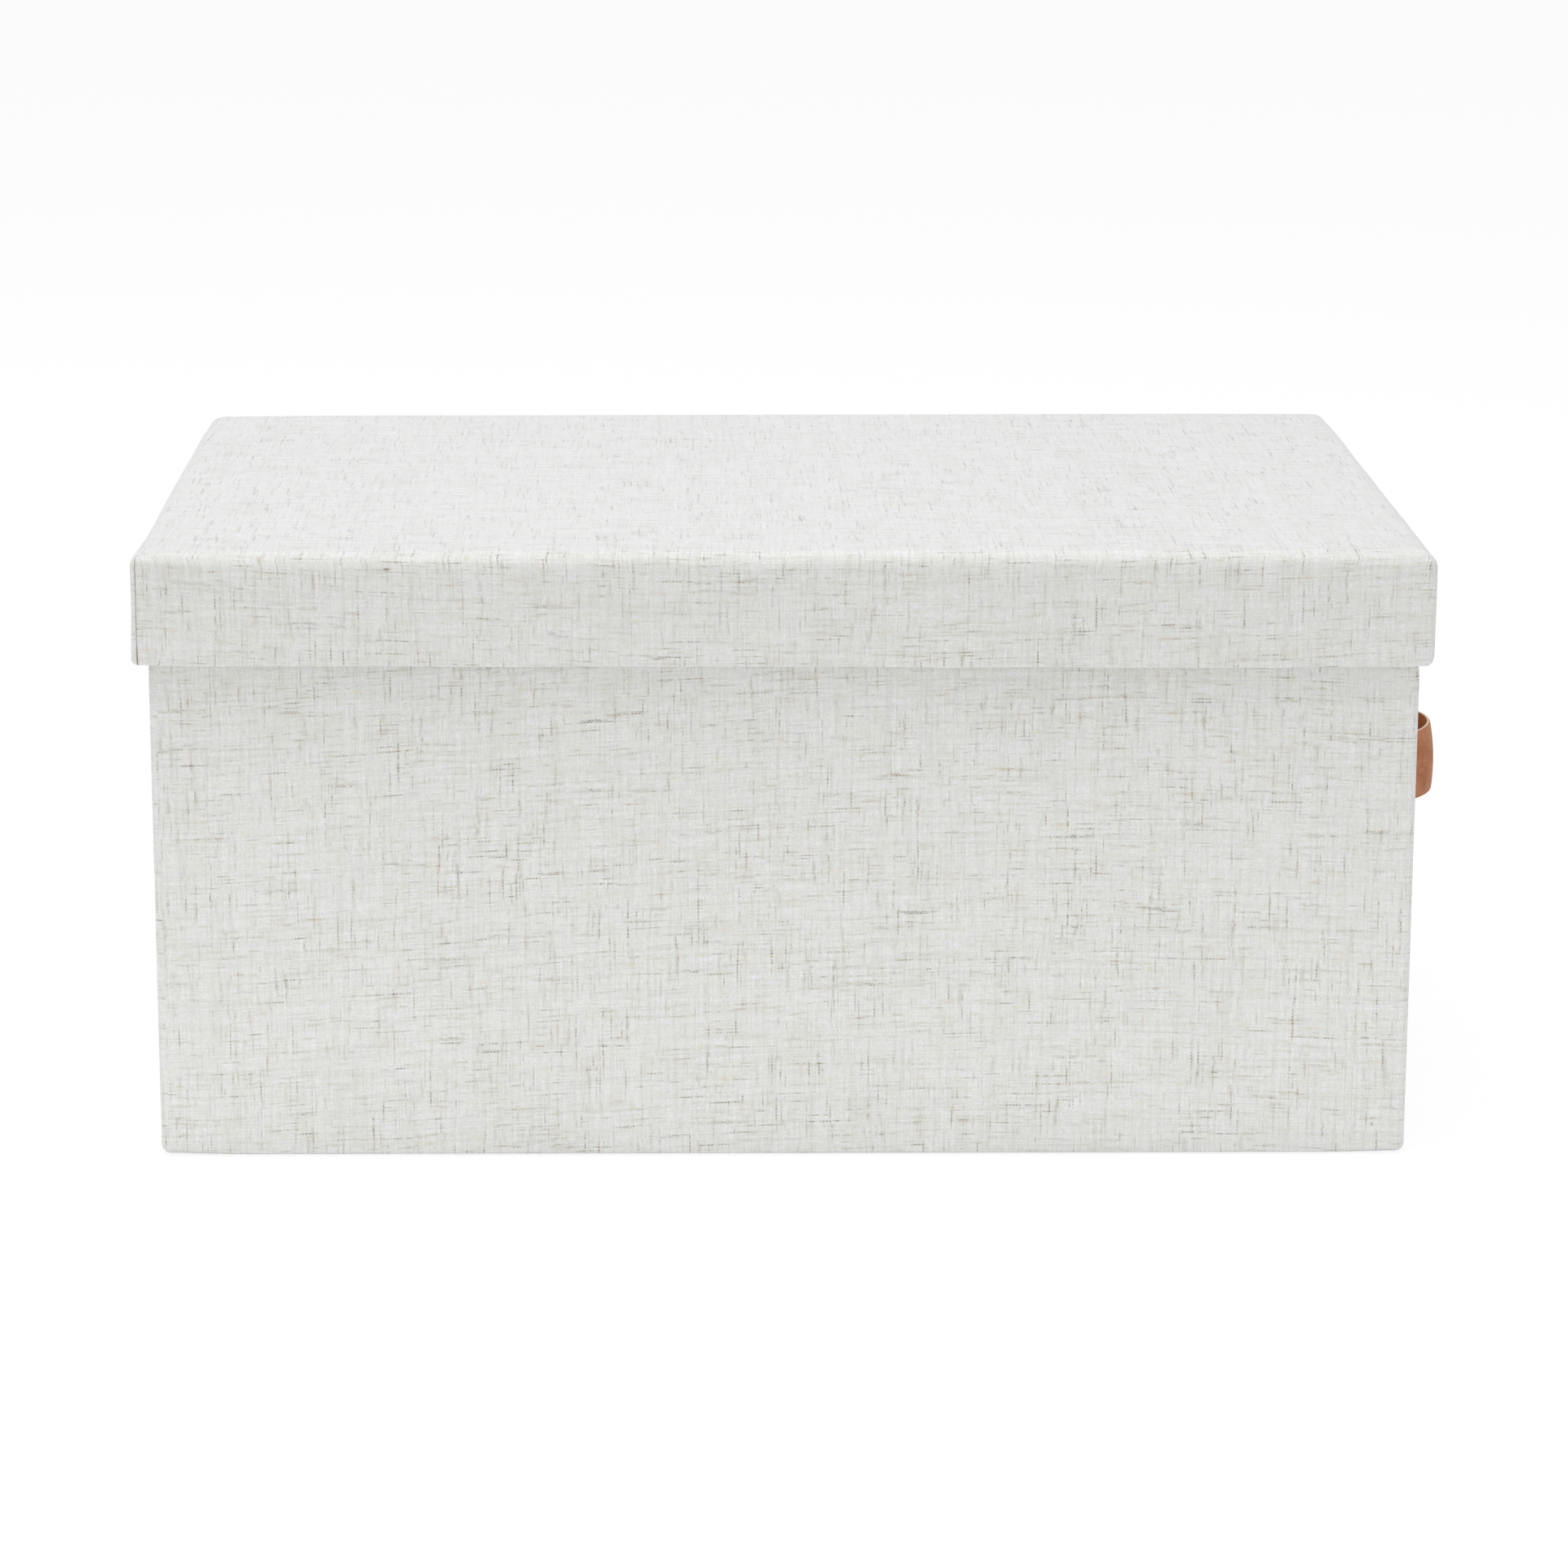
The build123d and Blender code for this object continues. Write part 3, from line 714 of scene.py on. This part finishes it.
def flat_lining(name, low, high, level, facing, body, node):
    """A lining sheet glued to a board, facing up or down."""
    swell_length, swell_seed = 60 * MM, 47
    half = 0.5 * (high - low)
    across, deep = (graded(2 * side, first=2 * MM, growth=1.5, largest=7 * MM) - side for side in half[:2])
    x, y = np.meshgrid(across, deep, indexing="ij")
    lumps = lining_swell * waves(x, y, swell_length, swell_seed) - lining_swell
    points = np.stack([x, y, level + facing * lumps], axis=-1).reshape(-1, 3)
    cell = grid_quads(np.arange(len(points)).reshape(x.shape))
    cell = cell if facing > 0 else cell[:, ::-1]
    piece = make_piece(name, points, cell, points[cell][:, :, :2], cotton, body)
    thicken(piece, sheet_drawn)
    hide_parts(node)


def lid_wadding():
    """The soft pad on the lid's top board, thin and rounded at its edges."""
    panel_inset, lower_inset, upper_inset, edge_reach = 12 * MM, 1.0 * MM, 0.8 * MM, 7.4 * MM
    corner_radius, least_radius = 3.0 * MM, 1.5 * MM
    girth = Girth(padding_high, corner_radius, first=3 * MM, largest=9 * MM, arc_steps=6)
    low, high = padding_low[2], padding_high[2]
    profile = [
        (panel_inset, low),
        (lower_inset, low),
        *rounding((upper_inset + edge_reach, low), (-edge_reach, 0.0), (0.0, high - low), 7),
        (panel_inset, high),
    ]
    rows = [girth.row(inset, height, least_radius) for inset, height in profile]
    piece = skin("lid_wadding", girth, rows, 0, strip, wadding, "lid", panels=[0, len(rows) - 1])
    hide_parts("lid_padding")


box_cover()
lid_cover()

# A ring lining steps over the cloth's turned-in hem between two levels, and lies on the board past it.
box_step_top, box_step_bottom, box_board_inset = 190.2 * MM, 188.6 * MM, 4.0 * MM
lid_step_top, lid_step_bottom, lid_board_inset = 195.2 * MM, 193.6 * MM, 3.5 * MM
box_over_hem, lid_over_hem = box_fold + lining_thickness, lid_fold + lining_thickness
# Its free edge is rounded off.
edge_start, edge_turn, edge_back, edge_over = 0.5 * MM, 0.1 * MM, 0.45 * MM, 0.05 * MM
ring_lining("box_wall_lining", box_high, [
    (box_over_hem - edge_back, wall_lining_top + edge_over),
    (box_over_hem - edge_turn, wall_lining_top),
    *[(box_over_hem, height) for height in np.linspace(wall_lining_top - edge_start, box_step_top, 4)],
    *[(box_board_inset, height) for height in np.linspace(box_step_bottom, floor_lining_low[2], 26)],
], "box", "wall_lining")
ring_lining("lid_side_lining", lid_high, [
    *[(lid_board_inset, height) for height in np.linspace(ceiling_low[2], lid_step_top, 4)],
    *[(lid_over_hem, height) for height in np.linspace(lid_step_bottom, rim_lining_bottom + edge_start, 4)],
    (lid_over_hem - edge_turn, rim_lining_bottom),
    (lid_over_hem - edge_back, rim_lining_bottom - edge_over),
], "lid", "lid_rim_lining")
flat_lining("box_floor_lining", floor_lining_low, floor_lining_high, floor_lining_high[2], 1,
            "box", "floor_lining")
flat_lining("lid_roof_lining", ceiling_low, ceiling_high, ceiling_low[2], -1,
            "lid", "lid_ceiling_lining")


# Pull and rivets

def strap_section():
    """Places round the strap's section: across it, out past a cut edge, and from inner to outer face."""
    face, bends = np.linspace(-1, 1, 15), np.linspace(QUARTER, -QUARTER, 7)[1:-1]
    half = [*[(spot, 0.0, 1.0) for spot in face],
            *[(1.0, math.cos(angle), math.sin(angle)) for angle in bends]]
    return half + [(-across, -bulge, -side) for across, bulge, side in half]


def leather_pull():
    """The bowed strap: flat rounded ends, a smooth bow, a cupped section and rounded cut edges."""
    wall = strap_low[0] + 0.5 * strap_thickness
    # The leather has relaxed, so its bow is a little shallower than the solid's.
    relaxed = 0.5 * MM
    bow = strap_high[0] - strap_low[0] - strap_thickness - relaxed
    tip = strap_high[1]
    half_width = 0.5 * (strap_high[2] - strap_low[2])
    run = 0.25 * strap_span
    bend = (run ** 2 + (0.5 * bow) ** 2) / bow
    arc = bend * math.asin(run / bend)
    flat = tip - 0.5 * strap_span
    total = 2 * flat + 4 * arc

    def middle_line(place):
        """X, Y and lean of the strap's middle line, from its tip to the top of the bow."""
        if place < flat:
            return wall, -tip + place, 0.0
        if place < flat + arc:
            lean = (place - flat) / bend
            return wall + bend * (1 - math.cos(lean)), -0.5 * strap_span + bend * math.sin(lean), lean
        lean = (2 * arc + flat - place) / bend
        return wall + bow - bend * (1 - math.cos(lean)), -bend * math.sin(lean), lean

    ends = strap_end_radius * (1 - np.cos(np.linspace(0, QUARTER, 9)))
    inner = np.linspace(strap_end_radius, total - strap_end_radius, 78)
    places = np.concatenate([ends[:-1], inner, total - ends[:-1][::-1]])
    # The bow is cupped across and tilted a little, and use has drawn its upper edge up.
    cup_depth, tilt, draw = 1.1, 0.6, 0.6
    edge = 0.5 * strap_thickness
    loop = strap_section()
    points, uv, sides = [], [], []
    for place in places:
        mirrored = min(place, total - place)
        x, y, lean = middle_line(mirrored)
        flip = 1 if place <= 0.5 * total else -1
        normal = np.array([math.cos(lean), -flip * math.sin(lean)])
        centre = np.array([x, y * flip])
        short = max(0.0, strap_end_radius - mirrored)
        width = half_width - strap_end_radius + math.sqrt(strap_end_radius ** 2 - short ** 2)
        crowned = ease(mirrored, flat, flat + 2 * arc)
        for across, bulge, side in loop:
            spread = (width - edge) * across + edge * bulge
            share = spread / half_width
            cup = (-cup_depth * share ** 2 - tilt * share) * MM * crowned
            drawn_up = draw * (1 + share) * MM * crowned
            plan = centre + normal * (edge * side + cup)
            points.append((plan[0], plan[1], strap_height + spread + drawn_up))
            uv.append((place, spread))
            sides.append(side)
    ring = np.arange(len(loop))
    faces = [*round_quads(len(places), len(loop)), ring[::-1], ring + (len(places) - 1) * len(loop)]
    corner_uv = [uv[i] for face in faces for i in face]
    piece = make_piece("leather_pull", points, faces, corner_uv, leather, "box")
    note_points(piece, "leather_side", sides)
    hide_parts("pull_strap")


leather_pull()


def lathe(profile, steps=32):
    """Points and faces of a profile of radius and X turned about the X axis, closed on it at both ends."""
    turns = [2 * math.pi * step / steps for step in range(steps)]
    rings = [(x, radius * math.cos(turn), radius * math.sin(turn))
             for radius, x in profile[1:-1] for turn in turns]
    points = [(profile[0][1], 0.0, 0.0), *rings, (profile[-1][1], 0.0, 0.0)]
    first, last = 1, len(rings) - steps + 1
    faces = (round_quads(len(profile) - 2, steps) + first).tolist()
    for step in range(steps):
        ahead = (step + 1) % steps
        faces.append((0, first + ahead, first + step))
        faces.append((last + step, last + ahead, len(points) - 1))
    return points, faces


def pair_tree():
    """Geometry Nodes: sets what comes in at two places a spacing apart, and gives it a material."""
    tree = bpy.data.node_groups.new("rivet_pair", "GeometryNodeTree")
    for label, way, kind in (
            ("Rivet", "INPUT", "NodeSocketGeometry"), ("Spacing", "INPUT", "NodeSocketFloat"),
            ("Height", "INPUT", "NodeSocketFloat"), ("Metal", "INPUT", "NodeSocketMaterial"),
            ("Rivets", "OUTPUT", "NodeSocketGeometry")):
        tree.interface.new_socket(label, in_out=way, socket_type=kind)
    given = add(tree, "NodeGroupInput").node.outputs
    half = add(tree, CALC, {0: given["Spacing"], 1: -0.5}, operation="MULTIPLY")
    start = add(tree, "ShaderNodeCombineXYZ", {1: half, 2: given["Height"]})
    step = add(tree, "ShaderNodeCombineXYZ", {1: given["Spacing"]})
    line = add(tree, "GeometryNodeMeshLine", {"Count": 2, "Start Location": start, "Offset": step})
    turn = add(tree, "FunctionNodeRandomValue", {
        "Min": (-3.0, 0.0, 0.0), "Max": (3.0, 0.0, 0.0), "Seed": 4}, data_type="FLOAT_VECTOR")
    placed = add(tree, "GeometryNodeInstanceOnPoints", {
        "Points": line, "Instance": given["Rivet"], "Rotation": turn})
    solid = add(tree, "GeometryNodeRealizeInstances", {"Geometry": placed})
    finished = add(tree, "GeometryNodeSetMaterial", {"Geometry": solid, "Material": given["Metal"]})
    add(tree, "NodeGroupOutput", {0: finished})
    return tree


def rivet_pieces(name, profile, node, tree):
    """A pair of turned metal parts, made one by the tree and left as a plain mesh."""
    points, faces = lathe(profile)
    mesh = bpy.data.meshes.new(name + "_one")
    mesh.from_pydata(points, [], faces)
    mesh.shade_smooth()
    piece = bpy.data.objects.new(name, mesh)
    bpy.context.scene.collection.objects.link(piece)
    nodes = piece.modifiers.new("pair", "NODES")
    nodes.node_group = tree
    values = {"Spacing": rivet_spacing, "Height": strap_height, "Metal": brass}
    for socket in tree.interface.items_tree:
        if socket.name in values:
            nodes[socket.identifier] = values[socket.name]
    bpy.context.view_layer.update()
    pair = bpy.data.meshes.new_from_object(piece.evaluated_get(bpy.context.evaluated_depsgraph_get()))
    piece.modifiers.remove(nodes)
    piece.data = pair
    pair.name = name
    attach(piece, "box")
    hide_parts(node)


pair = pair_tree()
shank_radius, shank_bevel, seat_gap = 1.75 * MM, 0.2 * MM, 0.01 * MM
head_radius, head_bevel, head_rim = 4.5 * MM, 0.15 * MM, 0.35 * MM
head_seat, head_top = rivet_high[0] - 2.2 * MM, rivet_high[0]
dome = head_top - head_seat - head_rim
rivet_pieces("rivet_heads", [
    (0.0, rivet_low[0]),
    (shank_radius - shank_bevel, rivet_low[0]),
    (shank_radius, rivet_low[0] + shank_bevel),
    (shank_radius, head_seat - seat_gap),
    (head_radius - head_bevel, head_seat),
    *rounding((0.0, head_seat + head_rim), (head_radius, 0.0), (0.0, dome), 10)[:-1],
    (0.0, head_top),
], "rivets", pair)
# The caps inside the wall are dished a little in the middle.
cap_radius, cap_bevel, cap_edge = 0.5 * (cap_high[2] - cap_low[2]), 0.1 * MM, 0.7 * MM
dish_share, dish_edge, dish_depth = 0.3, 0.05 * MM, 0.25 * MM
rivet_pieces("rivet_backs", [
    (0.0, cap_low[0] + dish_depth),
    (dish_share * cap_radius, cap_low[0] + dish_edge),
    *rounding((cap_radius - cap_edge, cap_low[0] + cap_edge), (cap_edge, 0.0), (0.0, -cap_edge), 6)[::-1],
    (cap_radius - cap_bevel, cap_high[0]),
    (0.0, cap_high[0]),
], "rivet_caps", pair)


# Boards, tapes and paper keep their CAD shape.

stocks = dict.fromkeys((
    "front_board", "back_board", "left_end_board", "right_end_board", "base_board", "lid_top_board",
    "lid_front_board", "lid_back_board", "lid_left_end_board", "lid_right_end_board"), greyboard)
stocks.update({"corner_tapes": kraft, "lid_corner_tapes": kraft, "base_sheet": paper})
for node, stock in stocks.items():
    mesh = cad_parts[node].data
    mesh.materials.clear()
    mesh.materials.append(stock)


# Floor, light and camera

def seen_share(tree):
    """1 where the eye meets a surface, straight, in gloss or through glass, and 0 where it only lights."""
    rays = add(tree, "ShaderNodeLightPath").node.outputs
    seen = rays["Is Camera Ray"]
    for kind in ("Is Glossy Ray", "Is Transmission Ray"):
        seen = add(tree, CALC, {0: seen, 1: rays[kind]}, operation="MAXIMUM")
    return seen


def white_floor(scene):
    """A white floor that glows a little where it is seen and keeps the object's shadow."""
    material, tree = new_material("white_paper_floor")
    glow_share, glow_strength = 0.8, 1.05
    glow = add(tree, CALC, {0: seen_share(tree), 1: glow_share}, operation="MULTIPLY")
    matt = add(tree, "ShaderNodeBsdfDiffuse", {"Color": linear("#f8f8f8")})
    white = add(tree, "ShaderNodeEmission", {"Color": (1, 1, 1, 1), "Strength": glow_strength})
    both = add(tree, "ShaderNodeMixShader", {0: glow, 1: matt, 2: white})
    add(tree, "ShaderNodeOutputMaterial", {"Surface": both})
    mesh = bpy.data.meshes.new("floor")
    # The floor is a hair below the base, so that the two faces don't lie in one plane.
    reach, level = 9.0, -0.2 * MM
    mesh.from_pydata([(reach * x, reach * y, level) for x, y in Girth.STARTS], [], [(0, 1, 2, 3)])
    mesh.materials.append(material)
    floor = bpy.data.objects.new("floor", mesh)
    scene.collection.objects.link(floor)


def white_surroundings(scene):
    """Surroundings that are white where they are seen, and weaker as light."""
    light_strength = 0.63
    scene.world = bpy.data.worlds.new("white_studio")
    scene.world.use_nodes = True
    tree = scene.world.node_tree
    tree.nodes.clear()
    strength = add(tree, RANGE, {"Value": seen_share(tree), "To Min": light_strength})
    sky = add(tree, "ShaderNodeBackground", {"Color": (1, 1, 1, 1), "Strength": strength})
    add(tree, "ShaderNodeOutputWorld", {"Surface": sky})


def lamps(scene):
    """A large soft box above, a narrow low one in front whose beam is aimed at the box's foot, and a weak
    fill far in front on the left."""
    for name, size, watts, place, tilt, beam in (
            ("soft_box", (2.4, 1.8), 28.0, (-0.3, -0.15, 2.2), 0.0, 180.0),
            ("low_strip", (1.8, 0.1), 0.19, (-0.4, -2.1, 0.3), 80.0, 16.0),
            ("front_fill", (1.6, 1.0), 4.6, (-1.2, -3.2, 0.9), 78.0, 180.0)):
        lamp = bpy.data.lights.new(name, "AREA")
        lamp.shape = "RECTANGLE"
        lamp.size, lamp.size_y = size
        lamp.energy = watts
        lamp.spread = math.radians(beam)
        light = bpy.data.objects.new(name, lamp)
        light.location = place
        light.rotation_euler = (math.radians(tilt), 0, 0)
        light.visible_camera = False
        scene.collection.objects.link(light)


def photo_camera(scene):
    """A long lens at the photo's viewing angle, looking down on the lid."""
    place, look_down, roll = (-0.037, -1.811, 0.5385), 13.6, -0.0022
    lens = bpy.data.cameras.new("camera")
    lens.sensor_width = 36.0
    lens.lens = 112.9
    lens.shift_x = 0.0685
    camera = bpy.data.objects.new("camera", lens)
    pitch = math.radians(90 - look_down)
    camera.matrix_world = (
        Matrix.Translation(place) @ Matrix.Rotation(pitch, 4, "X") @ Matrix.Rotation(roll, 4, "Z"))
    scene.collection.objects.link(camera)
    scene.camera = camera


lid_wadding()

scene = bpy.context.scene
scene.view_settings.view_transform = "Standard"
white_floor(scene)
white_surroundings(scene)
lamps(scene)
photo_camera(scene)
